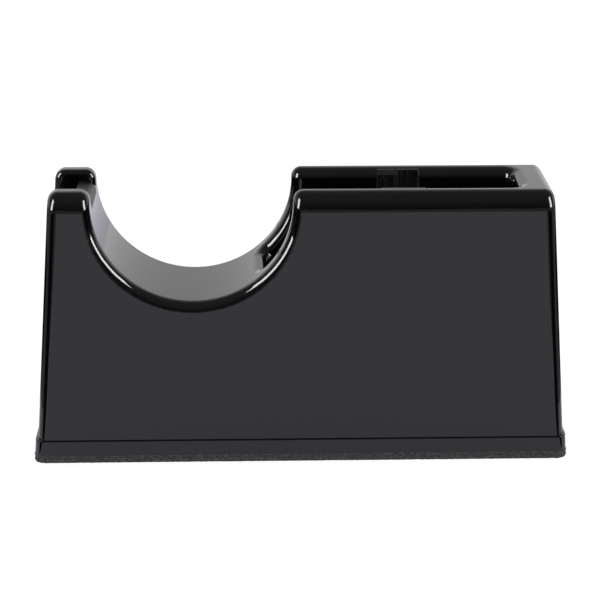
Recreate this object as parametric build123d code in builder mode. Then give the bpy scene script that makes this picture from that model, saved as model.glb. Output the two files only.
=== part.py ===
from build123d import *
import math
import os

os.makedirs("parts", exist_ok=True)

# A weighted desktop tape dispenser. Millimetres, +Z up, horn at -X, reel well at +X, front face at -Y.
# The origin is the middle of the foot pad's underside.

# Foot pad, skirt and body
pad_length = 246.2
pad_depth = 62.0
pad_corner = 5.5
pad_top = 3.5
skirt_length = 245.2
skirt_depth = 61.2
skirt_corner = 5.1
skirt_lean = 0.5
skirt_round = 0.5
plate_corner = 4.1
ledge_z = 10.6
ledge_length = 241.8
ledge_depth = 58.6
rim_z = 126.5
rim_length = 223.8
rim_depth = 50.0
roll_width = 6.4
roll_height = 8.6
roll_pull = 0.5523
end_round = 4.6
dip_round = 4.6
wall = 2.8

# Finger dip: a round saddle across the whole depth
dip_x = -48.8
dip_z = 121.0
dip_radius = 44.9

# Reel well, axle and axle guides
well_gap = 26.5
well_right = 96.8
well_wall = 2.5
well_corner = 4.0
rim_inner_round = 5.2
horn_inner_round = 2.6
slot_x = -17.7
axle_x = 49.6
axle_z = 76.5
guide_left = 35.4
guide_right = 54.9
guide_bottom = 66.5
guide_top = 126.0
guide_face = 12.6
guide_back = 15.1
guide_bevel = 2.1
guide_play = 0.1
channel_width = 9.2
channel_back = 14.4
relief_width = 6.4
relief_height = 46.0
relief_depth = 0.5
relief_top_inset = 3.4

# Horn pocket, landing ledge and cutter
landing_z = 121.3
landing_round = 5.0
landing_left = -101.4
landing_overlap = 0.5
pocket_overlap = 6.0
pocket_floor = 97.0
holder_front = -110.6
holder_play = 0.2
holder_top = 116.6
holder_back_top = 113.5
holder_flat = 2.0
blade_thick = 0.5
blade_low = 104.0
blade_root = 116.0
blade_tip = 118.0
blade_pitch = 1.6
blade_teeth = 16
rivet_places = ((-8.0, 108.5), (8.0, 108.5))
rivet_radius = 1.2
rivet_head = 2.1
rivet_head_height = 0.7
rivet_bevel = 0.25
rivet_length = 4.0

# Base plate, bosses, screws and weights
plate_top = 6.2
plate_play = 0.25
skirt_wall = 2.6
boss_radius = 4.0
boss_top = 24.0
boss_x = 104.0
boss_y = 23.4
screw_radius = 1.45
screw_play = 0.05
head_radius = 2.9
head_edge = 0.3
screw_tip = 0.2
drive_width = 0.9
drive_depth = 1.1
base_screw_length = 14.0
weight_depth = 38.0
weight_corner = 4.0
weight_bevel = 1.5
front_weight_x = (-100.0, -24.0)
front_weight_top = 42.0
rear_weight_x = (-12.0, 98.0)
rear_weight_top = 21.0
weight_screw_length = 11.0
weight_screw_inset = 14.0

# Hub, pin, shoes and washers
pin_radius = 3.0
pin_half = 14.2
pin_bevel = 0.4
bush_outer = 6.0
run_play = 0.05
hub_radius = 37.75
hub_half_width = 12.0
hub_rim_wall = 2.2
hub_web = 2.0
hub_web_inset = 1.0
hub_web_bite = 0.5
hub_boss = 9.5
hub_screw_circle = 18.0
hub_screw_count = 3
hub_screw_boss = 3.6
washer_radius = 7.5
washer_thick = 0.45
hub_window_circle = 25.0
hub_window_radius = 5.0
hub_screw_radius = 1.2
hub_screw_head = 2.6
hub_screw_head_height = 0.8
hub_screw_length = 20.0
shoe_face = 12.8
shoe_play = 0.1
shoe_height = 9.0
pin_seat_play = 0.02

spin_plane = Plane((axle_x, 0, axle_z), x_dir=(0, 1, 0), z_dir=(1, 0, 0))
spin_axis = Axis((axle_x, 0, axle_z), (0, 1, 0))
side_lean = (ledge_depth - rim_depth) / 2 / (rim_z - ledge_z)
end_lean = (ledge_length - rim_length) / 2 / (rim_z - ledge_z)
guide_middle = (guide_left + guide_right) / 2
ledge_step = (skirt_length - 2 * skirt_lean - ledge_length) / 2

# Cutting outlines reach this far past the outside, or all the way through
cut_beyond = 10.0
far_reach = 200.0
over_rim = rim_z + cut_beyond
outside_horn = -rim_length / 2 - cut_beyond

# How near an edge's place counts as the same, and how straight its run
same_place = 0.01
straight_run = 0.99


def cross_section(inset, low):
    """Section across the length: leaning sides, and a top rolled over at both edges in a tall oval."""
    top = rim_z - inset
    half_top = rim_depth / 2 - inset + side_lean * inset
    half_low = half_top + side_lean * (top - low)
    roll_low = top - roll_height + inset
    half_roll = half_top + side_lean * (top - roll_low)
    half_flat = half_top - roll_width + inset
    pull_out = half_roll + roll_pull * (half_top - half_roll)
    pull_up = roll_low + roll_pull * (top - roll_low)
    pull_in = half_flat + roll_pull * (half_top - half_flat)
    with BuildSketch(Plane.YZ) as section:
        with BuildLine():
            Polyline((-half_roll, roll_low), (-half_low, low), (half_low, low), (half_roll, roll_low))
            for side in (-1, 1):
                Bezier((side * half_roll, roll_low), (side * pull_out, pull_up),
                       (side * pull_in, top), (side * half_flat, top))
            Line((-half_flat, top), (half_flat, top))
        make_face()
    return section.sketch


def side_view(inset, low):
    """Outline from the front: sloping ends, with the round dip open to the top."""
    top = rim_z - inset
    half_top = rim_length / 2 - inset + end_lean * inset
    half_low = half_top + end_lean * (top - low)
    with BuildSketch(Plane.XZ) as outline:
        with BuildLine():
            Polyline((-half_low, low), (half_low, low), (half_top, top), (-half_top, top), close=True)
        make_face()
        with Locations((dip_x, dip_z)):
            Circle(dip_radius + inset, mode=Mode.SUBTRACT)
        with Locations((dip_x, dip_z + far_reach / 2)):
            Rectangle(2 * (dip_radius + inset), far_reach, mode=Mode.SUBTRACT)
    return outline.sketch


def well_view(grow):
    """Outline of the reel well: right wall, round floor about the axle, straight ramp up to the slot."""
    radius = well_right - axle_x + grow
    slot_z = dip_z - math.sqrt(dip_radius**2 - (slot_x - dip_x) ** 2)
    lip = (slot_x - grow, slot_z)
    reach = math.hypot(lip[0] - axle_x, lip[1] - axle_z)
    to_lip = math.atan2(lip[1] - axle_z, lip[0] - axle_x)
    ramp_start = math.degrees(to_lip + math.acos(radius / reach)) - 360
    with BuildSketch(Plane.XZ) as outline:
        with BuildLine():
            right = Line((axle_x + radius, over_rim), (axle_x + radius, axle_z))
            floor = CenterArc((axle_x, axle_z), radius, 0, ramp_start)
            Line(floor @ 1, lip)
            Polyline(lip, (lip[0], over_rim), right @ 0)
        make_face()
    return outline.sketch


def pocket_view():
    """Outline of the gap between the horn's cheeks: deep at the cutter, shallow over the landing."""
    lip_x = dip_x - dip_radius + landing_overlap
    past_lip = lip_x + pocket_overlap
    with BuildSketch(Plane.XZ) as outline:
        with BuildLine():
            Polyline((lip_x, landing_z - landing_round), (past_lip, landing_z - landing_round),
                     (past_lip, over_rim), (outside_horn, over_rim), (outside_horn, pocket_floor),
                     (landing_left, pocket_floor), (landing_left, landing_z),
                     (lip_x - landing_round, landing_z))
            CenterArc((lip_x - landing_round, landing_z - landing_round), landing_round, 0, 90)
        make_face()
    return outline.sketch


def on_dip(edge):
    """True for the edges that run round the mouth of the finger dip."""
    for place in (0.0, 0.5, 1.0):
        point = edge @ place
        if point.Z > dip_z:
            away = abs(abs(point.X - dip_x) - dip_radius)
        else:
            away = abs(math.hypot(point.X - dip_x, point.Z - dip_z) - dip_radius)
        if away > same_place:
            return False
    across = abs((edge % 0.5).Y) > straight_run
    return not across or (edge @ 0.5).Z > rim_z - same_place


def on_well_corner(edge):
    """True for the two upright corners at the well's right end."""
    middle = edge @ 0.5
    upright = abs((edge % 0.5).Z) > straight_run
    at_end = abs(middle.X - well_right) < same_place
    return upright and at_end and abs(abs(middle.Y) - well_gap / 2) < same_place


def on_inner_rim(edge):
    """True for the rim edges that look down into the reel well and the horn pocket."""
    middle = edge @ 0.5
    at_rim = abs(middle.Z - rim_z) < same_place
    inside = abs(middle.Y) < well_gap / 2 + same_place
    across_dip = abs((edge % 0.5).Y) > straight_run and middle.X < axle_x
    return at_rim and inside and not across_dip


def screw_outline(length, head, shank):
    """Half outline of a countersunk screw, head down at local y = 0, tip up."""
    with BuildSketch(Plane.XZ) as outline:
        with BuildLine():
            Polyline((0, 0), (head, 0), (head, head_edge), (shank, head_edge + head - shank),
                     (shank, length - shank), (screw_tip, length), (0, length), close=True)
        make_face()
    return outline.sketch


base_screw_places = [(x, y) for x in (-boss_x, 0, boss_x) for y in (-boss_y, boss_y)]
weight_screw_places = [
    (ends[0] + weight_screw_inset if left else ends[1] - weight_screw_inset, 0)
    for ends in (front_weight_x, rear_weight_x)
    for left in (True, False)
]


def screws_up(places, start_z, length):
    """Countersunk screws driven upwards through the plate, one at each place, with cross recesses."""
    with BuildPart() as screws:
        with Locations(*[(x, y, start_z) for x, y in places]):
            add(revolve(screw_outline(length, head_radius, screw_radius), Axis.Z, mode=Mode.PRIVATE))
        with Locations(*[(x, y, start_z + drive_depth / 2) for x, y in places]):
            Box(2 * screw_radius, drive_width, drive_depth, mode=Mode.SUBTRACT)
            Box(drive_width, 2 * screw_radius, drive_depth, mode=Mode.SUBTRACT)
    return screws.part


# Hollow of the housing, kept away from the well, the horn pocket and the screw bosses
with BuildPart() as hollow:
    extrude(cross_section(wall, plate_top), amount=far_reach, both=True)
    extrude(side_view(wall, plate_top), amount=far_reach, both=True, mode=Mode.INTERSECT)
    extrude(well_view(well_wall), amount=well_gap / 2 + well_wall, both=True, mode=Mode.SUBTRACT)
    with Locations((guide_middle, 0, (guide_bottom + rim_z) / 2)):
        Box(guide_right - guide_left + 2 * well_wall, 2 * (guide_back + well_wall),
            rim_z - guide_bottom + 2 * well_wall, mode=Mode.SUBTRACT)
    with Locations(((outside_horn + dip_x - dip_radius) / 2, 0, (pocket_floor - well_wall + rim_z) / 2)):
        Box(dip_x - dip_radius - outside_horn, well_gap + 2 * well_wall,
            rim_z - pocket_floor + well_wall, mode=Mode.SUBTRACT)
    with BuildSketch(Plane.XY.offset(plate_top)):
        with Locations(*base_screw_places):
            Circle(boss_radius)
    extrude(amount=boss_top - plate_top, mode=Mode.SUBTRACT)

# Housing: leaning body with rolled rim, skirt, dip, reel well and horn
with BuildPart() as body_shell:
    extrude(cross_section(0, pad_top), amount=far_reach, both=True)
    extrude(side_view(0, pad_top), amount=far_reach, both=True, mode=Mode.INTERSECT)
    for end_face in (body_shell.faces().sort_by(Axis.X)[0], body_shell.faces().sort_by(Axis.X)[-1]):
        fillet(end_face.edges().filter_by(lambda edge: (edge @ 0.5).Z > ledge_z), end_round)
    fillet(body_shell.edges().filter_by(on_dip), dip_round)
    with BuildSketch(Plane.XY.offset(pad_top)):
        RectangleRounded(skirt_length, skirt_depth, skirt_corner)
    with BuildSketch(Plane.XY.offset(ledge_z)):
        RectangleRounded(skirt_length - 2 * skirt_lean, skirt_depth - 2 * skirt_lean, skirt_corner)
    loft()
    ledge_edges = body_shell.edges().filter_by_position(Axis.Z, ledge_z - same_place, ledge_z + same_place)
    outer_ledge = ledge_edges.filter_by(
        lambda edge: abs((edge @ 0.5).X) > (ledge_length + ledge_step) / 2
        or abs((edge @ 0.5).Y) > (ledge_depth + ledge_step) / 2
    )
    fillet(outer_ledge, skirt_round)
    add(hollow.part, mode=Mode.SUBTRACT)
    with BuildSketch(Plane.XY.offset(pad_top)):
        RectangleRounded(skirt_length - 2 * skirt_wall, skirt_depth - 2 * skirt_wall, plate_corner)
    extrude(amount=plate_top - pad_top, mode=Mode.SUBTRACT)
    with BuildSketch(Plane.XY.offset(plate_top)):
        with Locations(*base_screw_places):
            Circle(screw_radius + screw_play)
    extrude(amount=base_screw_length, mode=Mode.SUBTRACT)
    extrude(well_view(0), amount=well_gap / 2, both=True, mode=Mode.SUBTRACT)
    fillet(body_shell.edges().filter_by(on_well_corner), well_corner)
    extrude(pocket_view(), amount=well_gap / 2, both=True, mode=Mode.SUBTRACT)
    inner_rim = body_shell.edges().filter_by(on_inner_rim)
    fillet(inner_rim.filter_by(lambda edge: (edge @ 0.5).X > dip_x), rim_inner_round)
    inner_rim = body_shell.edges().filter_by(on_inner_rim)
    fillet(inner_rim.filter_by(lambda edge: (edge @ 0.5).X < dip_x), horn_inner_round)
    for side in (-1, 1):
        with Locations((guide_middle, side * (guide_face + guide_back) / 2, guide_bottom)):
            Box(guide_right - guide_left + 2 * guide_play, guide_back - guide_face + 2 * guide_play,
                far_reach, align=(Align.CENTER, Align.CENTER, Align.MIN), mode=Mode.SUBTRACT)
body_shell.part.label = "body_shell"
export_step(body_shell.part, "parts/body_shell.step")

# Base plate, set up into the skirt, with countersunk holes for both sets of screws
with BuildPart() as base_plate:
    with BuildSketch(Plane.XY.offset(pad_top)):
        RectangleRounded(skirt_length - 2 * (skirt_wall + plate_play),
                         skirt_depth - 2 * (skirt_wall + plate_play), plate_corner - plate_play)
    extrude(amount=plate_top - pad_top)
    with Locations(*[(x, y, pad_top) for x, y in base_screw_places + weight_screw_places]):
        add(revolve(screw_outline(base_screw_length, head_radius + screw_play, screw_radius + screw_play),
                    Axis.Z, mode=Mode.PRIVATE), mode=Mode.SUBTRACT)
base_plate.part.label = "base_plate"
export_step(base_plate.part, "parts/base_plate.step")

# Foam sheet under the whole base
with BuildPart() as foot_pad:
    with BuildSketch():
        RectangleRounded(pad_length, pad_depth, pad_corner)
    extrude(amount=pad_top)
foot_pad.part.label = "foot_pad"
export_step(foot_pad.part, "parts/foot_pad.step")

base_screws = screws_up(base_screw_places, pad_top, base_screw_length)
base_screws.label = "base_screws"
export_step(base_screws, "parts/base_screws.step")
ballast_screws = screws_up(weight_screw_places, pad_top, weight_screw_length)
ballast_screws.label = "ballast_screws"
export_step(ballast_screws, "parts/ballast_screws.step")

# Iron weights on the plate, one below the dip and one below the reel well
weights = (("ballast_front", front_weight_x, front_weight_top),
           ("ballast_rear", rear_weight_x, rear_weight_top))
for weight_name, ends, top in weights:
    with BuildPart() as weight:
        with BuildSketch(Plane.XY.offset(plate_top)):
            with Locations(((ends[0] + ends[1]) / 2, 0)):
                RectangleRounded(ends[1] - ends[0], weight_depth, weight_corner)
        extrude(amount=top - plate_top)
        chamfer(weight.faces().sort_by(Axis.Z)[-1].edges(), weight_bevel)
        hole_tops = [(x, y, plate_top) for x, y in weight_screw_places if ends[0] < x < ends[1]]
        with Locations(*hole_tops):
            Cylinder(screw_radius + screw_play, weight_screw_length,
                     align=(Align.CENTER, Align.CENTER, Align.MIN), mode=Mode.SUBTRACT)
    weight.part.label = weight_name
    export_step(weight.part, f"parts/{weight_name}.step")

# Guide inserts: a plate in each wall of the well, its top bevelled to follow the rounded rim, with an
# open-topped channel beside a shallow relief
for side_name, side in (("near", -1), ("far", 1)):
    with BuildPart() as guide:
        with Locations((guide_middle, side * (guide_face + guide_back) / 2, (guide_bottom + guide_top) / 2)):
            Box(guide_right - guide_left, guide_back - guide_face, guide_top - guide_bottom - guide_play)
        top_edges = guide.edges().filter_by(Axis.X).sort_by(Axis.Z)[-2:]
        chamfer(top_edges.sort_by(lambda edge: abs((edge @ 0.5).Y))[0], guide_bevel)
        with BuildSketch(Plane.XZ.offset(-side * guide_face)):
            with Locations((axle_x, axle_z)):
                Circle(channel_width / 2)
            with Locations((axle_x, axle_z)):
                Rectangle(channel_width, far_reach, align=(Align.CENTER, Align.MIN))
        extrude(amount=-side * (channel_back - guide_face), mode=Mode.SUBTRACT)
        relief_middle = (guide_left + axle_x - channel_width / 2) / 2
        with BuildSketch(Plane.XZ.offset(-side * guide_face)):
            with Locations((relief_middle, guide_top - relief_top_inset)):
                Rectangle(relief_width, relief_height, align=(Align.CENTER, Align.MAX))
        extrude(amount=-side * relief_depth, mode=Mode.SUBTRACT)
    guide.part.label = f"axle_guide_{side_name}"
    export_step(guide.part, f"parts/axle_guide_{side_name}.step")

# Cutter holder between the horn's cheeks, sloping back from its toothed edge
with BuildPart() as cutter_holder:
    with BuildSketch(Plane.XZ):
        with BuildLine():
            Polyline((holder_front, pocket_floor), (landing_left - holder_play, pocket_floor),
                     (landing_left - holder_play, holder_back_top), (holder_front + holder_flat, holder_top),
                     (holder_front, holder_top), close=True)
        make_face()
    extrude(amount=well_gap / 2 - holder_play, both=True)
    with BuildSketch(Plane.YZ.offset(holder_front)):
        with Locations(*rivet_places):
            Circle(rivet_radius + screw_play)
    extrude(amount=rivet_length, mode=Mode.SUBTRACT)
cutter_holder.part.label = "cutter_holder"
export_step(cutter_holder.part, "parts/cutter_holder.step")

# Steel cutter: a strip with a row of pointed teeth along its top edge
with BuildPart() as cutter_blade:
    half_blade = blade_pitch * blade_teeth / 2
    with BuildSketch(Plane.YZ.offset(holder_front)):
        with BuildLine():
            edge_points = [(-half_blade, blade_low), (half_blade, blade_low), (half_blade, blade_root)]
            for tooth in range(blade_teeth):
                right_end = half_blade - tooth * blade_pitch
                edge_points.append((right_end - blade_pitch / 2, blade_tip))
                edge_points.append((right_end - blade_pitch, blade_root))
            Polyline(*edge_points, close=True)
        make_face()
        with Locations(*rivet_places):
            Circle(rivet_radius + screw_play, mode=Mode.SUBTRACT)
    extrude(amount=-blade_thick)
cutter_blade.part.label = "cutter_blade"
export_step(cutter_blade.part, "parts/cutter_blade.step")

# Two round-headed rivets through the blade into the holder
with BuildPart() as blade_rivets:
    with BuildSketch(Plane.YZ.offset(holder_front - blade_thick)):
        with Locations(*rivet_places):
            Circle(rivet_head)
    extrude(amount=-rivet_head_height)
    chamfer(blade_rivets.faces().sort_by(Axis.X)[0:2].edges(), rivet_bevel)
    with BuildSketch(Plane.YZ.offset(holder_front - blade_thick)):
        with Locations(*rivet_places):
            Circle(rivet_radius)
    extrude(amount=rivet_length)
blade_rivets.part.label = "blade_rivets"
export_step(blade_rivets.part, "parts/blade_rivets.step")

# Steel axle pin across the well
with BuildPart() as axle_pin:
    with BuildSketch(spin_plane):
        with Locations((0, pin_radius / 2)):
            Rectangle(2 * pin_half, pin_radius)
    revolve(axis=spin_axis)
    chamfer(axle_pin.edges().filter_by(GeomType.CIRCLE), pin_bevel)
axle_pin.part.label = "axle_pin"
export_step(axle_pin.part, "parts/axle_pin.step")

# Shoes on the pin's ends, which slide down the guide channels and rest in their round ends
for side_name, side in (("near", -1), ("far", 1)):
    with BuildPart() as shoe:
        with BuildSketch(Plane.XZ.offset(-side * shoe_face)):
            with Locations((axle_x, axle_z)):
                Circle(channel_width / 2 - shoe_play)
                Rectangle(channel_width - 2 * shoe_play, shoe_height, align=(Align.CENTER, Align.MIN))
                Circle(pin_radius + pin_seat_play, mode=Mode.SUBTRACT)
        extrude(amount=-side * (pin_half - shoe_face))
    shoe.part.label = f"axle_shoe_{side_name}"
    export_step(shoe.part, f"parts/axle_shoe_{side_name}.step")

# Drag washers between the hub and the shoes
for side_name, side in (("near", -1), ("far", 1)):
    with BuildPart() as washer:
        with BuildSketch(Plane(origin=(axle_x, side * hub_half_width, axle_z), z_dir=(0, side, 0))):
            Circle(washer_radius)
            Circle(pin_radius + run_play, mode=Mode.SUBTRACT)
        extrude(amount=washer_thick)
    washer.part.label = f"drag_washer_{side_name}"
    export_step(washer.part, f"parts/drag_washer_{side_name}.step")

# Core hub: two cups that meet at mid width, each with a rim, a web, a middle boss and screw bosses
hub_inner = hub_radius - hub_rim_wall
for side_name, side in (("near", -1), ("far", 1)):
    hub_face = Plane(origin=(axle_x, side * hub_half_width, axle_z), x_dir=(1, 0, 0), z_dir=(0, -side, 0))
    web_face = hub_face.offset(hub_web_inset)
    with BuildPart() as hub_half:
        with BuildSketch(hub_face):
            Circle(hub_radius)
            Circle(hub_inner, mode=Mode.SUBTRACT)
        extrude(amount=hub_half_width)
        with BuildSketch(hub_face):
            Circle(hub_boss)
        extrude(amount=hub_half_width)
        with BuildSketch(web_face):
            Circle(hub_inner + hub_web_bite)
        extrude(amount=hub_web)
        with BuildSketch(web_face):
            with PolarLocations(hub_screw_circle, hub_screw_count):
                Circle(hub_screw_boss)
        extrude(amount=hub_half_width - hub_web_inset)
        with BuildSketch(web_face):
            with PolarLocations(hub_window_circle, hub_screw_count, start_angle=180 / hub_screw_count):
                Circle(hub_window_radius)
        extrude(amount=hub_web, mode=Mode.SUBTRACT)
        with BuildSketch(web_face):
            with PolarLocations(hub_screw_circle, hub_screw_count):
                Circle(hub_screw_radius + screw_play)
        extrude(amount=hub_half_width, mode=Mode.SUBTRACT)
        with BuildSketch(hub_face):
            Circle(bush_outer)
        extrude(amount=hub_half_width, mode=Mode.SUBTRACT)
    hub_half.part.label = f"hub_half_{side_name}"
    export_step(hub_half.part, f"parts/hub_half_{side_name}.step")

# Bush pressed through both hub halves, turning on the pin
with BuildPart() as hub_bush:
    with BuildSketch(Plane(origin=(axle_x, hub_half_width, axle_z), z_dir=(0, -1, 0))):
        Circle(bush_outer - pin_seat_play)
        Circle(pin_radius + run_play, mode=Mode.SUBTRACT)
    extrude(amount=2 * hub_half_width)
hub_bush.part.label = "hub_bush"
export_step(hub_bush.part, "parts/hub_bush.step")

# Three screws along the axle's direction that hold the hub halves together
with BuildPart() as hub_screws:
    near_face = Plane(origin=(axle_x, -hub_half_width, axle_z), x_dir=(1, 0, 0), z_dir=(0, 1, 0))
    with BuildSketch(near_face.offset(hub_web_inset - hub_screw_head_height)):
        with PolarLocations(hub_screw_circle, hub_screw_count):
            Circle(hub_screw_head)
    extrude(amount=hub_screw_head_height)
    with BuildSketch(near_face.offset(hub_web_inset)):
        with PolarLocations(hub_screw_circle, hub_screw_count):
            Circle(hub_screw_radius)
    extrude(amount=hub_screw_length)
hub_screws.part.label = "hub_screws"
export_step(hub_screws.part, "parts/hub_screws.step")
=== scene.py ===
import bpy
import math
import numpy as np
from mathutils import Matrix, Vector


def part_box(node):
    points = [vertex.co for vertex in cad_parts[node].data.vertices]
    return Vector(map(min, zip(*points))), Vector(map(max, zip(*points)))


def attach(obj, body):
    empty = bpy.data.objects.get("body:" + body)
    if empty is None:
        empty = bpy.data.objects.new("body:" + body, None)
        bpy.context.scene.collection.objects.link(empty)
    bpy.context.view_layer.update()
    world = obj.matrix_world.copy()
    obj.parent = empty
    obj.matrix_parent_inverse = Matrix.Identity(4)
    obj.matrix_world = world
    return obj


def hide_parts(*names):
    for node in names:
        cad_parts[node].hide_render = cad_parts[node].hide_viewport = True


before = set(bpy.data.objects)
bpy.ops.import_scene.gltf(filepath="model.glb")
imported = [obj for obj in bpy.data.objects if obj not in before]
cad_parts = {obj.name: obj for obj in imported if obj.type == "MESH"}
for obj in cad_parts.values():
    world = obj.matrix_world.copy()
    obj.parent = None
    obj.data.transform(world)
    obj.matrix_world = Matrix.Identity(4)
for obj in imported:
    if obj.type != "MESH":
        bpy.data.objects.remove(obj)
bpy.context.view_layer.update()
scene = bpy.context.scene
scene.view_settings.view_transform = "Standard"

# The camera: a long lens a little to the left of the dispenser's middle, looking down on its long
# side. Its place is in metres and its turns are in degrees, in the dispenser's own frame.
camera_place = (-0.0241, -0.7700, 0.3548)
camera_heading = 1.78
camera_down = 20.45
camera_roll = 0.20
camera_nearest = 0.01
sensor_width = 36.0
focal_pixels = 1775.0
picture_pixels = 600.0

camera_data = bpy.data.cameras.new("long_lens")
camera_data.sensor_width = sensor_width
camera_data.lens = focal_pixels / picture_pixels * sensor_width
camera_data.clip_start = camera_nearest
camera = bpy.data.objects.new("long_lens", camera_data)
turn = (Matrix.Rotation(-math.radians(camera_heading), 4, "Z")
        @ Matrix.Rotation(math.radians(90 - camera_down), 4, "X")
        @ Matrix.Rotation(math.radians(camera_roll), 4, "Z"))
camera.matrix_world = Matrix.Translation(camera_place) @ turn
scene.collection.objects.link(camera)
scene.camera = camera

# The table: a narrow sheet of white paper that runs under the dispenser from front to back, so that its
# long sides mirror white below and the darker room above. The paper keeps the dispenser's soft shadow.
table_left = -0.20
table_right = 0.20
table_front = -0.85
table_back = 2.5
paper_grey = 0.82
paper_shade = 0.30
paper_glow = 0.84
paper_mirrored = (0.66, 0.645, 0.755, 1)


def flat_sheet(name, corners):
    """A four-cornered sheet through the given corners, taken in order."""
    mesh = bpy.data.meshes.new(name)
    mesh.from_pydata(corners, [], [(0, 1, 2, 3)])
    sheet = bpy.data.objects.new(name, mesh)
    scene.collection.objects.link(sheet)
    return sheet


def even_grey(level):
    """A colour with the same red, green and blue."""
    return (level, level, level, 1)


def link(tree, start, start_socket, end, end_socket):
    """Joins one node's output to another node's input."""
    tree.links.new(start.outputs[start_socket], end.inputs[end_socket])


def bare_material(name):
    """A material with an output node and nothing else."""
    material = bpy.data.materials.new(name)
    material.use_nodes = True
    tree = material.node_tree
    tree.nodes.clear()
    return material, tree, tree.nodes.new("ShaderNodeOutputMaterial")


def matt_shader(tree, level):
    """An even matt grey."""
    matt = tree.nodes.new("ShaderNodeBsdfDiffuse")
    matt.inputs["Color"].default_value = even_grey(level)
    return matt.outputs["BSDF"]


def white_paper():
    """Plain matt paper to the lamps; to the eye white that darkens in shadow, and in reflections cooler."""
    paper, tree, out = bare_material("white_paper")
    shown = matt_shader(tree, paper_grey)
    shade = matt_shader(tree, paper_shade)
    seen = tree.nodes.new("ShaderNodeLightPath")
    for ray, light in (("Is Glossy Ray", paper_mirrored), ("Is Camera Ray", even_grey(paper_glow))):
        glow = tree.nodes.new("ShaderNodeEmission")
        glow.inputs["Color"].default_value = light
        lit = tree.nodes.new("ShaderNodeAddShader")
        tree.links.new(shade, lit.inputs[0])
        link(tree, glow, "Emission", lit, 1)
        blend = tree.nodes.new("ShaderNodeMixShader")
        link(tree, seen, ray, blend, "Fac")
        tree.links.new(shown, blend.inputs[1])
        link(tree, lit, "Shader", blend, 2)
        shown = blend.outputs["Shader"]
    tree.links.new(shown, out.inputs["Surface"])
    return paper


table = flat_sheet("table_paper", [(table_left, table_front, 0), (table_right, table_front, 0),
                                   (table_right, table_back, 0), (table_left, table_back, 0)])
table.data.materials.append(white_paper())

# Dark cards beside the dispenser's ends, a standing one in front and a lying one behind on each side. Only
# reflections show them: they draw the dark lines down the gloss corners, and leave the faces clear.
card_near = 0.134
card_far = 0.40
card_front = -0.60
card_back = -0.034
card_height = 0.112
runner_near = 0.126
runner_near_back = 0.190
runner_far = 0.50
runner_front = 0.036
runner_back = 0.46
runner_lift = 0.0005
card_grey = 0.015


def matt_black():
    """Matt card, nearly black."""
    finish, tree, out = bare_material("dark_card")
    tree.links.new(matt_shader(tree, card_grey), out.inputs["Surface"])
    return finish


def dark_card(name, finish, corners):
    """A sheet that only reflections show."""
    card = flat_sheet(name, corners)
    card.data.materials.append(finish)
    card.visible_camera = False
    card.visible_diffuse = False
    card.visible_shadow = False
    card.visible_transmission = False


card_finish = matt_black()
for card_end, side in (("left", -1), ("right", 1)):
    near = side * card_near
    far = side * card_far
    dark_card("card_" + card_end, card_finish,
              [(far, card_front, 0), (near, card_back, 0),
               (near, card_back, card_height), (far, card_front, card_height)])
    near = side * runner_near
    near_back = side * runner_near_back
    far = side * runner_far
    dark_card("runner_" + card_end, card_finish,
              [(near, runner_front, runner_lift), (far, runner_front, runner_lift),
               (far, runner_back, runner_lift), (near_back, runner_back, runner_lift)])

# The room: white to the camera, a soft even light to matt surfaces, and to reflections a white wall low
# down behind that fades overhead to a dim room in front. Each step is an angle in degrees over the top and
# a grey, from the back horizon (0) to the front one (180). The first step is for all that lies lower.
room_soft = (0.85, 0.85, 0.86, 1)
room_steps = ((-8, 0.35), (-7, 1.12), (34, 1.06), (44, 0.80), (52, 0.47), (61, 0.28), (77, 0.25), (88, 0.24),
              (100, 0.22), (142, 0.20), (158, 0.11), (180, 0.06))


def room_light(tree, colour):
    """World light of one colour."""
    light = tree.nodes.new("ShaderNodeBackground")
    light.inputs["Color"].default_value = colour
    return light


def studio_room():
    """World light by the angle of the ray over the top, atan2(z, y), through a ramp of the steps."""
    world = bpy.data.worlds.new("studio_room")
    scene.world = world
    world.use_nodes = True
    tree = world.node_tree
    tree.nodes.clear()
    out = tree.nodes.new("ShaderNodeOutputWorld")
    place = tree.nodes.new("ShaderNodeTexCoord")
    parts = tree.nodes.new("ShaderNodeSeparateXYZ")
    link(tree, place, "Generated", parts, "Vector")
    angle = tree.nodes.new("ShaderNodeMath")
    angle.operation = "ARCTAN2"
    link(tree, parts, "Z", angle, 0)
    link(tree, parts, "Y", angle, 1)
    lowest = room_steps[0][0]
    highest = room_steps[-1][0]
    turns = tree.nodes.new("ShaderNodeMapRange")
    turns.inputs["From Min"].default_value = math.radians(lowest)
    turns.inputs["From Max"].default_value = math.radians(highest)
    link(tree, angle, "Value", turns, "Value")
    steps = tree.nodes.new("ShaderNodeValToRGB")
    ramp = steps.color_ramp
    ramp.elements[0].position = 0
    ramp.elements[1].position = 1
    for degrees, _ in room_steps[1:-1]:
        ramp.elements.new((degrees - lowest) / (highest - lowest))
    for element, (_, grey) in zip(ramp.elements, room_steps):
        element.color = even_grey(grey)
    link(tree, turns, "Result", steps, "Fac")
    mirrored = room_light(tree, even_grey(1))
    link(tree, steps, "Color", mirrored, "Color")
    seen = tree.nodes.new("ShaderNodeLightPath")
    shown = room_light(tree, room_soft).outputs["Background"]
    for ray, light in (("Is Glossy Ray", mirrored), ("Is Camera Ray", room_light(tree, even_grey(1)))):
        blend = tree.nodes.new("ShaderNodeMixShader")
        link(tree, seen, ray, blend, "Fac")
        tree.links.new(shown, blend.inputs[1])
        link(tree, light, "Background", blend, 2)
        shown = blend.outputs["Shader"]
    tree.links.new(shown, out.inputs["Surface"])


studio_room()

# Two tall soft boxes, one on each side in front. Only gloss shows them: their small images are the
# highlights on the corners, and the room's own light does the rest.
lamp_side = 1.1
lamp_front = -0.55
lamp_middle = 0.60
lamp_width = 0.50
lamp_height = 0.95
lamp_power = 26.0
lamp_aim = (0, 0, 0.1)


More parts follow.
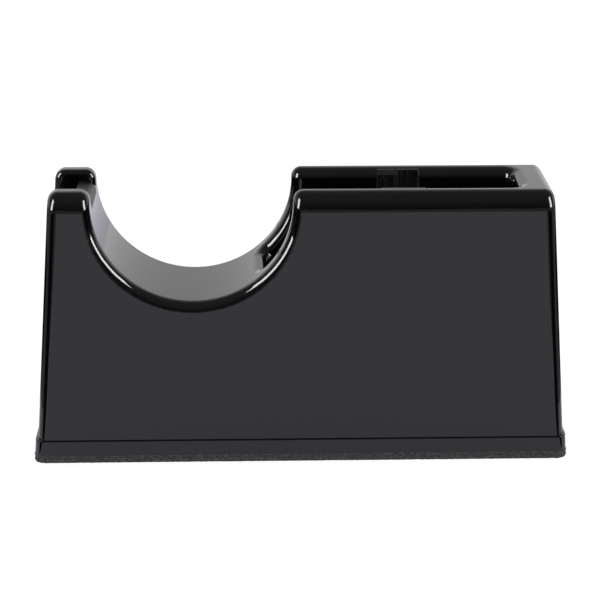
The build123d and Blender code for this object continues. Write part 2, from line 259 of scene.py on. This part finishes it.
def soft_lamp(name, place):
    """A rectangular lamp at a place, turned so that its face looks at the dispenser, for gloss only."""
    lamp_data = bpy.data.lights.new(name, "AREA")
    lamp_data.shape = "RECTANGLE"
    lamp_data.size = lamp_width
    lamp_data.size_y = lamp_height
    lamp_data.energy = lamp_power
    lamp = bpy.data.objects.new(name, lamp_data)
    lamp.location = place
    lamp.visible_diffuse = False
    lamp.rotation_euler = (Vector(lamp_aim) - Vector(place)).to_track_quat("-Z", "Y").to_euler()
    scene.collection.objects.link(lamp)


soft_lamp("lamp_left", (-lamp_side, lamp_front, lamp_middle))
soft_lamp("lamp_right", (lamp_side, lamp_front, lamp_middle))

# Housing: one injection moulding in black plastic from a polished mould. Its skin mirrors like lacquer,
# waves a little where the thick walls shrank, and carries faint wipe marks and a few specks of dust.
housing_black = (0.0018, 0.0018, 0.0020, 1)
housing_worn = (0.006, 0.0058, 0.0075, 1)
housing_ior = 1.49
housing_wave_scale = 17.0
housing_wave_height = 0.00016
housing_peel_scale = 420.0
housing_peel_height = 0.0000022
housing_wipe_scale = 55.0
housing_wipe_stretch = (0.35, 1.0, 1.6)
housing_wipe_span = (0.35, 0.75)
housing_wipe_rough = (0.035, 0.085)
housing_speck_scale = 950.0
housing_speck_span = (0.74, 0.80)
landing_low = (-0.1016, -0.0134, 0.1160)
landing_high = (-0.0925, 0.0134, 0.1225)
landing_edge = 0.0004
landing_rough = 0.42
landing_rib_pitch = 0.0007
landing_rib_height = 0.00006
middle_span = (0.30, 0.70)
edge_samples = 6


def new_finish(name):
    """A material with its Principled shader, and the piece's own Object coordinates."""
    finish = bpy.data.materials.new(name)
    finish.use_nodes = True
    tree = finish.node_tree
    return finish, tree, tree.nodes["Principled BSDF"], tree.nodes.new("ShaderNodeTexCoord")


def stretched(tree, place, stretch):
    """Object coordinates times a stretch along each axis, so that a grain can run one way."""
    mapping = tree.nodes.new("ShaderNodeMapping")
    mapping.inputs["Scale"].default_value = stretch
    link(tree, place, "Object", mapping, "Vector")
    return mapping, "Vector"


def grain(tree, place, scale, detail=3.0, stretch=None):
    """Fractal noise over the object, scale features to the metre, from 0 to 1 about 0.5."""
    noise = tree.nodes.new("ShaderNodeTexNoise")
    noise.inputs["Scale"].default_value = scale
    noise.inputs["Detail"].default_value = detail
    source, socket = stretched(tree, place, stretch) if stretch else (place, "Object")
    link(tree, source, socket, noise, "Vector")
    return noise.outputs["Fac"]


def spread(tree, value, span, reach=(0, 1)):
    """Carries a value from one span of numbers to another, and stops at its ends."""
    change = tree.nodes.new("ShaderNodeMapRange")
    for socket, number in zip(("From Min", "From Max", "To Min", "To Max"), (*span, *reach)):
        change.inputs[socket].default_value = number
    tree.links.new(value, change.inputs["Value"])
    return change.outputs["Result"]


def tint(tree, share, first, second):
    """Blends two colours, each a plain colour or another blend, by a share from 0 to 1."""
    mix = tree.nodes.new("ShaderNodeMix")
    mix.data_type = "RGBA"
    tree.links.new(share, mix.inputs["Factor"])
    for socket, colour in ((6, first), (7, second)):
        if isinstance(colour, tuple):
            mix.inputs[socket].default_value = colour
        else:
            tree.links.new(colour, mix.inputs[socket])
    return mix.outputs[2]


def raised(tree, height, depth, under=None):
    """Turns a height from 0 to 1 into slopes, as if it stood depth metres high, over an earlier relief."""
    bump = tree.nodes.new("ShaderNodeBump")
    bump.inputs["Strength"].default_value = 1.0
    bump.inputs["Distance"].default_value = depth
    tree.links.new(height, bump.inputs["Height"])
    if under is not None:
        tree.links.new(under, bump.inputs["Normal"])
    return bump.outputs["Normal"]


def edge_share(tree, radius, low, high):
    """1 on sharp edges and 0 on flats: how far the surface turns away within the radius."""
    rounded = tree.nodes.new("ShaderNodeBevel")
    rounded.samples = edge_samples
    rounded.inputs["Radius"].default_value = radius
    flat = tree.nodes.new("ShaderNodeNewGeometry")
    match = tree.nodes.new("ShaderNodeVectorMath")
    match.operation = "DOT_PRODUCT"
    link(tree, rounded, "Normal", match, 0)
    link(tree, flat, "Normal", match, 1)
    return spread(tree, match.outputs["Value"], (1 - low, 1 - high))


def coat(tree, shader, colour, rough, relief):
    """Gives a shader its colour, roughness and relief."""
    for socket, value in (("Base Color", colour), ("Roughness", rough), ("Normal", relief)):
        tree.links.new(value, shader.inputs[socket])


def dress(finish, *nodes):
    """Gives a finish to every material slot of the named CAD nodes."""
    for node in nodes:
        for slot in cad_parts[node].material_slots:
            slot.material = finish


def times(tree, first, second):
    """The product of two values, each a node's output or a number."""
    product = tree.nodes.new("ShaderNodeMath")
    product.operation = "MULTIPLY"
    for socket, factor in ((0, first), (1, second)):
        if isinstance(factor, float):
            product.inputs[socket].default_value = factor
        else:
            tree.links.new(factor, product.inputs[socket])
    return product.outputs["Value"]


def inside_box(tree, parts, low, high, edge):
    """1 inside a box of Object coordinates and 0 outside, with a soft edge: six ramps multiplied."""
    share = None
    for axis, start, end in zip("XYZ", low, high):
        rising = spread(tree, parts.outputs[axis], (start, start + edge))
        falling = spread(tree, parts.outputs[axis], (end - edge, end), (1, 0))
        both = times(tree, rising, falling)
        share = both if share is None else times(tree, share, both)
    return share


def gloss_black():
    """Near-black under a mirror skin: slow waves and fine peel in the relief, wipe marks in the gloss. On
    the landing between the horn's cheeks the mould is ribbed along the tape, so that tape lifts off it."""
    finish, tree, shader, place = new_finish("gloss_black_plastic")
    wave = grain(tree, place, housing_wave_scale, detail=1.0)
    peel = grain(tree, place, housing_peel_scale, detail=2.0)
    wipe = grain(tree, place, housing_wipe_scale, detail=5.0, stretch=housing_wipe_stretch)
    speck = grain(tree, place, housing_speck_scale, detail=1.0)
    colour = tint(tree, spread(tree, speck, housing_speck_span), housing_black, housing_worn)
    parts = tree.nodes.new("ShaderNodeSeparateXYZ")
    link(tree, place, "Object", parts, "Vector")
    landing = inside_box(tree, parts, landing_low, landing_high, landing_edge)
    rough = tree.nodes.new("ShaderNodeMath")
    rough.operation = "MAXIMUM"
    tree.links.new(spread(tree, wipe, housing_wipe_span, housing_wipe_rough), rough.inputs[0])
    tree.links.new(times(tree, landing, landing_rough), rough.inputs[1])
    ribs = tree.nodes.new("ShaderNodeMath")
    ribs.operation = "PINGPONG"
    ribs.inputs[1].default_value = landing_rib_pitch / 2
    link(tree, parts, "Y", ribs, 0)
    rib_share = times(tree, landing, times(tree, ribs.outputs["Value"], 2 / landing_rib_pitch))
    ribbed = raised(tree, rib_share, landing_rib_height)
    waved = raised(tree, wave, housing_wave_height, ribbed)
    coat(tree, shader, colour, rough.outputs["Value"], raised(tree, peel, housing_peel_height, waved))
    shader.inputs["IOR"].default_value = housing_ior
    return finish


dress(gloss_black(), "body_shell")

# Foot pad: a sheet of black cellular rubber, cut out with a blade and glued under the base. Its cut edge
# is crumbled and pitted where the blade opened the cells, and its skin is flat against the desk.
pad_low, pad_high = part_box("foot_pad")
pad_corner = 0.0055
pad_outline_step = 0.00045
pad_wall_rows = 15
pad_face_rows = 9
pad_face_reach = 0.97
pad_pit = 0.00042
pad_pit_length = 0.0011
pad_pit_height = 0.0009
pad_pit_finer = 2.3
pad_pit_share = 0.65
pad_dish = 0.00030
pad_lip = 0.00030
pad_lip_rise = 0.12
pad_skin = (0.013, 0.013, 0.0135, 1)
# Painted highlight: the paler colour given to the raised crumbs.
pad_crumb_highlight = (0.060, 0.059, 0.059, 1)
pad_crumb_scale = 1120.0
pad_highlight_span = (0.47, 0.66)
pad_crumb_rough = (0.97, 0.80)
pad_cell_scale = 1400.0
pad_cell_height = 0.00030


def smooth_noise(along, up, seed):
    """Random values on a unit grid, joined by a smooth step; the grid closes on itself along the way."""
    random = np.random.default_rng(seed)
    columns = int(np.ceil(along.max())) + 1
    rows = int(np.ceil(up.max())) + 2
    values = random.random((rows, columns))
    left = np.floor(along).astype(int) % columns
    low = np.floor(up).astype(int)
    ease_x = (along % 1) ** 2 * (3 - 2 * (along % 1))
    ease_y = (up % 1) ** 2 * (3 - 2 * (up % 1))
    right = (left + 1) % columns
    bottom = values[low, left] * (1 - ease_x) + values[low, right] * ease_x
    top = values[low + 1, left] * (1 - ease_x) + values[low + 1, right] * ease_x
    return bottom * (1 - ease_y) + top * ease_y


def rounded_outline(half_length, half_depth, corner, step):
    """Even steps round a rectangle with round corners: four straights joined by quarter circles."""
    straight = 2 * np.array([half_length - corner, half_depth - corner] * 2)
    quarter = corner * np.pi / 2
    starts = np.concatenate([[0], np.cumsum(np.ravel(np.column_stack([straight, np.full(4, quarter)])))])
    count = int(starts[-1] / step)
    far = np.arange(count) * starts[-1] / count
    leg = np.searchsorted(starts, far, side="right") - 1
    done = far - starts[leg]
    side = leg // 2
    on_arc = leg % 2 == 1
    heading = side * np.pi / 2
    angle = heading - np.pi / 2 + np.where(on_arc, done / corner, 0)
    run = np.where(on_arc, straight[side], done) - straight[side] / 2
    other = np.where(side % 2 == 0, half_depth, half_length) - corner
    middle_x = run * np.cos(heading) + other * np.sin(heading)
    middle_y = run * np.sin(heading) - other * np.cos(heading)
    return middle_x, middle_y, np.cos(angle), np.sin(angle), far


def foam_sheet():
    """Outline times section: round the pad by one parameter, and by the other from the middle of the
    underside, out and up the dished, pitted edge, and back to the middle of the top."""
    height = pad_high[2] - pad_low[2]
    middle_x, middle_y, out_x, out_y, far = rounded_outline(pad_high[0], pad_high[1], pad_corner,
                                                            pad_outline_step)
    rise = np.linspace(0, 1, pad_wall_rows)
    fan = np.linspace(0, 1, pad_face_rows)[1:-1]
    face = fan * pad_face_reach
    reach = np.concatenate([face, np.full(rise.size, 1.0), face[::-1]])
    level = np.concatenate([np.zeros(fan.size), rise, np.ones(fan.size)])
    wall = np.concatenate([np.zeros(fan.size), np.ones(rise.size), np.zeros(fan.size)])
    along, up = np.meshgrid(far / pad_pit_length, level * height / pad_pit_height)
    coarse = smooth_noise(along, up, 3)
    fine = smooth_noise(along * pad_pit_finer, up * pad_pit_finer, 4)
    pits = coarse * pad_pit_share + fine * (1 - pad_pit_share)
    edge = np.clip(np.minimum(level, 1 - level) / pad_lip_rise, 0, 1)[:, None]
    inset = pad_dish * np.sin(np.pi * level)[:, None] + pad_lip * (1 - edge) + pad_pit * pits ** 2
    depth = pad_corner * reach[:, None] - wall[:, None] * inset
    x = middle_x * reach[:, None] ** 0.5 + out_x * depth
    y = middle_y * reach[:, None] ** 0.5 + out_y * depth
    z = np.broadcast_to(pad_low[2] + level[:, None] * height, x.shape)
    rings = np.column_stack([x.ravel(), y.ravel(), z.ravel()])
    verts = np.vstack([rings, [[0, 0, pad_low[2]], [0, 0, pad_high[2]]]])
    rows, columns = x.shape
    here = np.arange(columns)
    after = (here + 1) % columns
    base = (np.arange(rows - 1) * columns)[:, None]
    quads = np.stack([base + here, base + after, base + columns + after, base + columns + here], axis=-1)
    under = np.full(columns, rings.shape[0])
    last = (rows - 1) * columns
    faces = (quads.reshape(-1, 4).tolist()
             + np.column_stack([under, after, here]).tolist()
             + np.column_stack([under + 1, last + here, last + after]).tolist())
    mesh = bpy.data.meshes.new("foot_pad_foam")
    mesh.from_pydata(verts.tolist(), [], faces)
    mesh.update()
    pad = bpy.data.objects.new("foot_pad_foam", mesh)
    scene.collection.objects.link(pad)
    return pad


def cell_rubber():
    """Open cells as small pits, and crumbs between them raised in the relief. A painted highlight makes the
    raised crumbs paler, as if they caught the light.
    """
    finish, tree, shader, place = new_finish("cell_rubber")
    cells = tree.nodes.new("ShaderNodeTexVoronoi")
    cells.inputs["Scale"].default_value = pad_cell_scale
    link(tree, place, "Object", cells, "Vector")
    crumbs = grain(tree, place, pad_crumb_scale, detail=4.0)
    # Painted highlight: the crumbs turn paler where the same noise raises them in the relief.
    colour = tint(tree, spread(tree, crumbs, pad_highlight_span), pad_skin, pad_crumb_highlight)
    pores = raised(tree, cells.outputs["Distance"], pad_cell_height)
    coat(tree, shader, colour, spread(tree, crumbs, middle_span, pad_crumb_rough),
         raised(tree, crumbs, pad_cell_height, pores))
    return finish


foot_pad = foam_sheet()
foot_pad.data.materials.append(cell_rubber())
foot_pad.data.shade_smooth()
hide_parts("foot_pad")
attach(foot_pad, "dispenser")

# Base plate: a flat black moulding that closes the hollow body from below. It comes from a mould with a
# fine spark grain, and its edges have rubbed paler where it was pushed home.
plate_black = (0.018, 0.018, 0.019, 1)
plate_worn = (0.060, 0.060, 0.062, 1)
plate_grain_scale = 2600.0
plate_grain_height = 0.000035
plate_rough = (0.42, 0.60)
cloud_coarser = 30
rubbed_radius = 0.0004
rubbed_turn = (0.03, 0.30)
rubbed_span = (0.35, 0.60)
rubbed_share = (0.15, 1)


def grained_black(name, black, worn, scale, height, rough):
    """Satin black plastic: a fine spark grain in the relief, clouded gloss, and paler rubbed edges."""
    finish, tree, shader, place = new_finish(name)
    fine = grain(tree, place, scale, detail=2.0)
    cloud = grain(tree, place, scale / cloud_coarser, detail=4.0)
    paler_edges = edge_share(tree, rubbed_radius, *rubbed_turn)
    patchy = times(tree, paler_edges, spread(tree, cloud, rubbed_span, rubbed_share))
    coat(tree, shader, tint(tree, patchy, black, worn), spread(tree, cloud, middle_span, rough),
         raised(tree, fine, height))
    return finish


dress(grained_black("grained_plate", plate_black, plate_worn, plate_grain_scale, plate_grain_height,
                    plate_rough), "base_plate")

# Screws: cross-headed steel screws with a bright zinc skin, driven up through the plate, and shorter
# ones of the same kind across the hub. The plating is clouded, and thin on the recess and the rims.
zinc_bright = (0.56, 0.57, 0.58, 1)
zinc_dull = (0.36, 0.36, 0.35, 1)
zinc_rubbed = (0.70, 0.69, 0.66, 1)
zinc_rough = (0.24, 0.46)
zinc_cloud_scale = 420.0
zinc_cloud_span = (0.38, 0.64)
zinc_edge_radius = 0.00018
zinc_edge_turn = (0.04, 0.35)
zinc_pit_scale = 3200.0
zinc_pit_height = 0.000014


def zinc_plate():
    """Clouded zinc over steel: two greys by slow noise, brighter rubbed rims, pinprick pits."""
    finish, tree, shader, place = new_finish("zinc_plate")
    cloud = grain(tree, place, zinc_cloud_scale, detail=5.0)
    pits = grain(tree, place, zinc_pit_scale, detail=2.0)
    body = tint(tree, spread(tree, cloud, zinc_cloud_span), zinc_bright, zinc_dull)
    colour = tint(tree, edge_share(tree, zinc_edge_radius, *zinc_edge_turn), body, zinc_rubbed)
    coat(tree, shader, colour, spread(tree, cloud, middle_span, zinc_rough),
         raised(tree, pits, zinc_pit_height))
    shader.inputs["Metallic"].default_value = 1.0
    return finish


dress(zinc_plate(), "base_screws", "ballast_screws", "hub_screws")

# Ballast: two iron castings screwed to the plate inside the body, one below the finger dip and one below
# the reel well. The sand mould leaves them rough and dark, with a little rust on the high places.
iron_dark = (0.070, 0.068, 0.066, 1)
iron_pale = (0.150, 0.148, 0.145, 1)
iron_rust = (0.130, 0.052, 0.022, 1)
iron_rough = (0.52, 0.86)
iron_sand_scale = 900.0
iron_sand_span = (0.35, 0.68)
iron_sand_height = 0.00022
iron_rust_scale = 60.0
iron_rust_span = (0.58, 0.72)
iron_rust_share = (0, 0.8)
iron_bare_span = (0.55, 0.72)
iron_bare_metal = (0.75, 0.05)


def sand_cast():
    """Sand texture in the relief, two greys by noise, rust where a slower noise runs high."""
    finish, tree, shader, place = new_finish("sand_cast_iron")
    sand = grain(tree, place, iron_sand_scale, detail=6.0)
    patch = grain(tree, place, iron_rust_scale, detail=5.0)
    body = tint(tree, spread(tree, sand, iron_sand_span), iron_dark, iron_pale)
    colour = tint(tree, spread(tree, patch, iron_rust_span, iron_rust_share), body, iron_rust)
    coat(tree, shader, colour, spread(tree, patch, middle_span, iron_rough),
         raised(tree, sand, iron_sand_height))
    tree.links.new(spread(tree, patch, iron_bare_span, iron_bare_metal), shader.inputs["Metallic"])
    return finish


dress(sand_cast(), "ballast_front", "ballast_rear")

# Axle guides: two satin inserts pressed into the walls of the reel well. The axle's shoes slide in their
# channels, which are polished there, and a painted highlight, a paler colour on the edges, draws fine bright
# lines.
guide_black = (0.0045, 0.0045, 0.0050, 1)
# Painted highlight: the paler colour given to the sharp edges, and how far round the edges it reaches.
guide_edge_highlight = (0.085, 0.085, 0.088, 1)
guide_highlight_radius = 0.00030
guide_highlight_turn = (0.02, 0.22)
guide_rough = (0.20, 0.38)
guide_grain_scale = 2200.0
guide_grain_height = 0.000018
guide_scuff_scale = 900.0
guide_scuff_stretch = (1.0, 1.0, 0.05)
guide_scuff_span = (0.35, 0.65)


def guide_satin():
    """Satin black: spark grain, upright scuffs from the sliding shoes, and a painted highlight: paler thin
    edges.
    """
    finish, tree, shader, place = new_finish("guide_satin")
    fine = grain(tree, place, guide_grain_scale, detail=2.0)
    scuff = grain(tree, place, guide_scuff_scale, stretch=guide_scuff_stretch)
    # Painted highlight: the sharp edges get a paler colour in place of the light they would catch.
    paler_edges = edge_share(tree, guide_highlight_radius, *guide_highlight_turn)
    scuffed = raised(tree, scuff, guide_grain_height)
    coat(tree, shader, tint(tree, paler_edges, guide_black, guide_edge_highlight),
         spread(tree, scuff, guide_scuff_span, guide_rough), raised(tree, fine, guide_grain_height, scuffed))
    return finish


guide_finish = guide_satin()
dress(guide_finish, "axle_guide_near", "axle_guide_far")

# Cutter: a block of the same satin plastic between the horn's cheeks, and on its front a ground steel
# strip with pointed teeth, held by two rivets. The strip was ground along its length, so fine lines run
# across the horn, and the tips of the teeth are bright from use.
blade_steel = (0.58, 0.58, 0.59, 1)
blade_dark = (0.34, 0.34, 0.35, 1)
blade_bright = (0.80, 0.80, 0.79, 1)
blade_edge_radius = 0.00020
blade_edge_turn = (0.04, 0.30)
blade_rough = (0.20, 0.38)
blade_line_scale = 5200.0
blade_line_stretch = (1.0, 0.03, 1.0)
blade_line_height = 0.000006
blade_stain_scale = 160.0
blade_stain_span = (0.45, 0.72)
blade_stain_share = (0, 0.6)


def ground_steel():
    """Grinding lines along the blade's length (Y), slow stains, and bright rubbed edges."""
    finish, tree, shader, place = new_finish("ground_steel")
    lines = grain(tree, place, blade_line_scale, detail=2.0, stretch=blade_line_stretch)
    stain = grain(tree, place, blade_stain_scale, detail=5.0)
    body = tint(tree, spread(tree, stain, blade_stain_span, blade_stain_share), blade_steel, blade_dark)
    colour = tint(tree, edge_share(tree, blade_edge_radius, *blade_edge_turn), body, blade_bright)
    coat(tree, shader, colour, spread(tree, lines, middle_span, blade_rough),
         raised(tree, lines, blade_line_height))
    shader.inputs["Metallic"].default_value = 1.0
    return finish


# The holder takes the guides' finish, including the painted highlight on its edges.
dress(guide_finish, "cutter_holder")
dress(ground_steel(), "cutter_blade", "blade_rivets")

# Axle: a turned steel pin across the well, and a black shoe on each end that slides down the guides. The
# turning tool leaves fine rings round the pin, dulled by a film of oil.
pin_steel = (0.52, 0.52, 0.53, 1)
pin_film = (0.40, 0.385, 0.36, 1)
pin_film_scale = 350.0
pin_film_span = (0.40, 0.65)
pin_rough = (0.16, 0.32)
pin_ring_scale = 4200.0
pin_ring_stretch = (0.01, 1.0, 0.01)
pin_ring_height = 0.000005


def turned_steel():
    """Rings round the Y axis, as noise that changes along Y only, under a thin patchy film."""
    finish, tree, shader, place = new_finish("turned_steel")
    rings = grain(tree, place, pin_ring_scale, stretch=pin_ring_stretch)
    film = grain(tree, place, pin_film_scale, detail=4.0)
    colour = tint(tree, spread(tree, film, pin_film_span), pin_steel, pin_film)
    coat(tree, shader, colour, spread(tree, rings, middle_span, pin_rough),
         raised(tree, rings, pin_ring_height))
    shader.inputs["Metallic"].default_value = 1.0
    return finish


dress(turned_steel(), "axle_pin")
# The shoes take the guides' finish, including the painted highlight on their edges.
dress(guide_finish, "axle_shoe_near", "axle_shoe_far")

# Bush and drag washers: natural slippery plastic, milky and a little waxy. Turning wears grey rings into
# the washers' faces round the pin.
pin_low, pin_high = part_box("axle_pin")
wax_white = (0.62, 0.60, 0.55, 1)
wax_worn = (0.40, 0.385, 0.35, 1)
wax_rough = (0.32, 0.52)
wax_cloud_scale = 260.0
wax_cloud_span = (0.40, 0.65)
wax_cloud_share = (0, 0.8)
wax_ring_pitch = 0.0009
wax_ring_height = 0.00001
wax_glow_share = 0.15
wax_glow_depth = (0.0012, 0.0010, 0.0008)


def waxy_white(spin_x, spin_z):
    """Milky plastic: wear as rings about the axle, from the distance to it, broken up by clouds."""
    finish, tree, shader, place = new_finish("waxy_white")
    centre = tree.nodes.new("ShaderNodeMapping")
    centre.inputs["Location"].default_value = (-spin_x, 0, -spin_z)
    link(tree, place, "Object", centre, "Vector")
    flat = tree.nodes.new("ShaderNodeVectorMath")
    flat.operation = "MULTIPLY"
    flat.inputs[1].default_value = (1, 0, 1)
    link(tree, centre, "Vector", flat, 0)
    reach = tree.nodes.new("ShaderNodeVectorMath")
    reach.operation = "LENGTH"
    link(tree, flat, "Vector", reach, 0)
    rings = tree.nodes.new("ShaderNodeMath")
    rings.operation = "PINGPONG"
    rings.inputs[1].default_value = wax_ring_pitch
    link(tree, reach, "Value", rings, 0)
    cloud = grain(tree, place, wax_cloud_scale, detail=5.0)
    ring_share = spread(tree, rings.outputs["Value"], (0, wax_ring_pitch))
    worn = times(tree, ring_share, spread(tree, cloud, wax_cloud_span, wax_cloud_share))
    coat(tree, shader, tint(tree, worn, wax_white, wax_worn), spread(tree, cloud, middle_span, wax_rough),
         raised(tree, worn, wax_ring_height))
    shader.inputs["Subsurface Weight"].default_value = wax_glow_share
    shader.inputs["Subsurface Radius"].default_value = wax_glow_depth
    return finish


dress(waxy_white((pin_low[0] + pin_high[0]) / 2, (pin_low[2] + pin_high[2]) / 2),
      "drag_washer_near", "drag_washer_far", "hub_bush")

# Core hub: two satin black cups that meet at mid width and take the core of the roll. The rim is rubbed
# round the outside by the cores that go on and off it.
hub_black = (0.010, 0.010, 0.011, 1)
hub_worn = (0.055, 0.054, 0.053, 1)
hub_grain_scale = 1900.0
hub_grain_height = 0.000030
hub_rough = (0.30, 0.52)

dress(grained_black("hub_satin", hub_black, hub_worn, hub_grain_scale, hub_grain_height, hub_rough),
      "hub_half_near", "hub_half_far")
